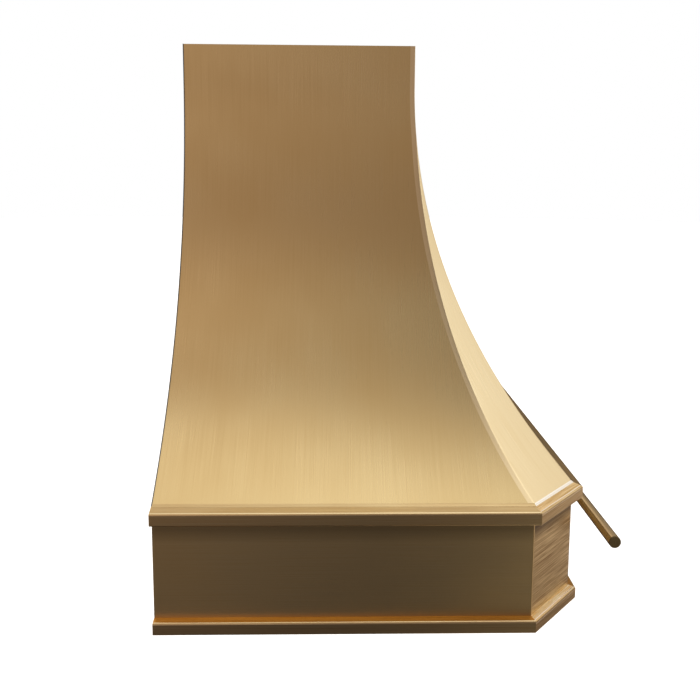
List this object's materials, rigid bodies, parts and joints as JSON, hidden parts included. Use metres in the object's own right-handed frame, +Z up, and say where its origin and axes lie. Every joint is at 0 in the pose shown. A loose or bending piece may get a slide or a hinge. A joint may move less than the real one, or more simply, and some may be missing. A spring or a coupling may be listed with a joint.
{
  "type": "wall-mounted range hood",
  "caption": "Wall-mounted range hood in brushed brass: square chimney, canopy that sweeps out to an apron with faceted corners, front rail, baffle filters, blower and duct damper.",
  "frame": {"origin": "on the wall plane, at the middle of the hood's lower edge", "axes": "+X along the wall to the right as seen from the front, +Y into the wall so the front faces -Y, +Z up"},
  "size_m": [1.098, 0.744, 0.914],
  "materials": {
    "sheet_brass": "brushed, satin, clear lacquer",
    "rail_brass": "brushed around the tube",
    "galvanised_steel": "zinc, matt with spangle",
    "stainless_steel": "brushed",
    "ground_steel": "ground",
    "motor_enamel": "semi-gloss enamel",
    "button_plastic": "fine texture",
    "lamp_glass": "frosted"
  },
  "bodies": {
    "hood": {"canopy_front": "sheet_brass", "canopy_side_left": "sheet_brass", "canopy_side_right": "sheet_brass", "canopy_corner_left": "sheet_brass", "canopy_corner_right": "sheet_brass", "apron_front": "sheet_brass", "apron_side_left": "sheet_brass", "apron_side_right": "sheet_brass", "upper_trim_front": "sheet_brass", "upper_trim_corner_left": "sheet_brass", "upper_trim_corner_right": "sheet_brass", "upper_trim_side_left": "sheet_brass", "upper_trim_side_right": "sheet_brass", "lower_trim_front": "sheet_brass", "lower_trim_corner_left": "sheet_brass", "lower_trim_corner_right": "sheet_brass", "lower_trim_side_left": "sheet_brass", "lower_trim_side_right": "sheet_brass", "rail_tube": "rail_brass", "rail_cap_left": "rail_brass", "rail_cap_right": "rail_brass", "rail_post_left": "rail_brass", "rail_post_right": "rail_brass", "rail_set_screws": "rail_brass", "back_panel": "galvanised_steel", "wall_rail_upper": "galvanised_steel", "wall_rail_lower": "galvanised_steel", "top_frame": "galvanised_steel", "base_frame": "galvanised_steel", "blower_box": "galvanised_steel", "scroll_housing": "galvanised_steel", "duct_collar": "galvanised_steel", "rail_post_bolts": "galvanised_steel", "liner_pan": "stainless_steel", "plenum": "stainless_steel", "liner_screws": "stainless_steel", "control_plate": "stainless_steel", "lamp_housings": "stainless_steel", "damper_pins": "stainless_steel", "lamp_lens_left": "lamp_glass", "lamp_lens_right": "lamp_glass", "motor": "motor_enamel"},
    "filter_unit_left": {"filter_left": "stainless_steel", "filter_baffles_left": "stainless_steel"},
    "filter_unit_middle": {"filter_middle": "stainless_steel", "filter_baffles_middle": "stainless_steel"},
    "filter_unit_right": {"filter_right": "stainless_steel", "filter_baffles_right": "stainless_steel"},
    "handle_left": {"filter_handle_left": "stainless_steel"},
    "handle_middle": {"filter_handle_middle": "stainless_steel"},
    "handle_right": {"filter_handle_right": "stainless_steel"},
    "cup_left": {"grease_cup_left": "stainless_steel"},
    "cup_right": {"grease_cup_right": "stainless_steel"},
    "fan_button": {"button_fan": "button_plastic"},
    "speed_button": {"button_speed": "button_plastic"},
    "light_button": {"button_light": "button_plastic"},
    "rotor": {"impeller": "galvanised_steel", "motor_shaft": "ground_steel"},
    "flap_front": {"damper_flap_front": "stainless_steel"},
    "flap_rear": {"damper_flap_rear": "stainless_steel"}
  },
  "joints": [
    {"name": "filter_lift_left", "type": "slide", "parent": "hood", "child": "filter_unit_left", "axis": [0, 0, 1], "range_m": [0, 0.04]},
    {"name": "handle_swing_left", "type": "hinge", "parent": "filter_unit_left", "child": "handle_left", "pos_m": [-0.28767, -0.5, 0.0217], "axis": [1, 0, 0], "range_deg": [-85, 85]},
    {"name": "filter_lift_middle", "type": "slide", "parent": "hood", "child": "filter_unit_middle", "axis": [0, 0, 1], "range_m": [0, 0.04]},
    {"name": "handle_swing_middle", "type": "hinge", "parent": "filter_unit_middle", "child": "handle_middle", "pos_m": [0, -0.5, 0.0217], "axis": [1, 0, 0], "range_deg": [-85, 85]},
    {"name": "filter_lift_right", "type": "slide", "parent": "hood", "child": "filter_unit_right", "axis": [0, 0, 1], "range_m": [0, 0.04]},
    {"name": "handle_swing_right", "type": "hinge", "parent": "filter_unit_right", "child": "handle_right", "pos_m": [0.28767, -0.5, 0.0217], "axis": [1, 0, 0], "range_deg": [-85, 85]},
    {"name": "cup_slide_left", "type": "slide", "parent": "hood", "child": "cup_left", "axis": [0, -1, 0], "range_m": [0, 0.05]},
    {"name": "cup_slide_right", "type": "slide", "parent": "hood", "child": "cup_right", "axis": [0, -1, 0], "range_m": [0, 0.05]},
    {"name": "fan_press", "type": "slide", "parent": "hood", "child": "fan_button", "axis": [0, 0, 1], "range_m": [0, 0.0015], "stiffness_N_per_m": 600, "springref_m": -0.001},
    {"name": "speed_press", "type": "slide", "parent": "hood", "child": "speed_button", "axis": [0, 0, 1], "range_m": [0, 0.0015], "stiffness_N_per_m": 600, "springref_m": -0.001},
    {"name": "light_press", "type": "slide", "parent": "hood", "child": "light_button", "axis": [0, 0, 1], "range_m": [0, 0.0015], "stiffness_N_per_m": 600, "springref_m": -0.001},
    {"name": "rotor_spin", "type": "hinge", "parent": "hood", "child": "rotor", "pos_m": [0, -0.29, 0.3], "axis": [1, 0, 0], "continuous": true},
    {"name": "flap_front_open", "type": "hinge", "parent": "hood", "child": "flap_front", "pos_m": [0, -0.2075, 0.49], "axis": [-1, 0, 0], "range_deg": [0, 75]},
    {"name": "flap_rear_open", "type": "hinge", "parent": "hood", "child": "flap_rear", "pos_m": [0, -0.1975, 0.49], "axis": [1, 0, 0], "range_deg": [0, 75]}
  ]
}
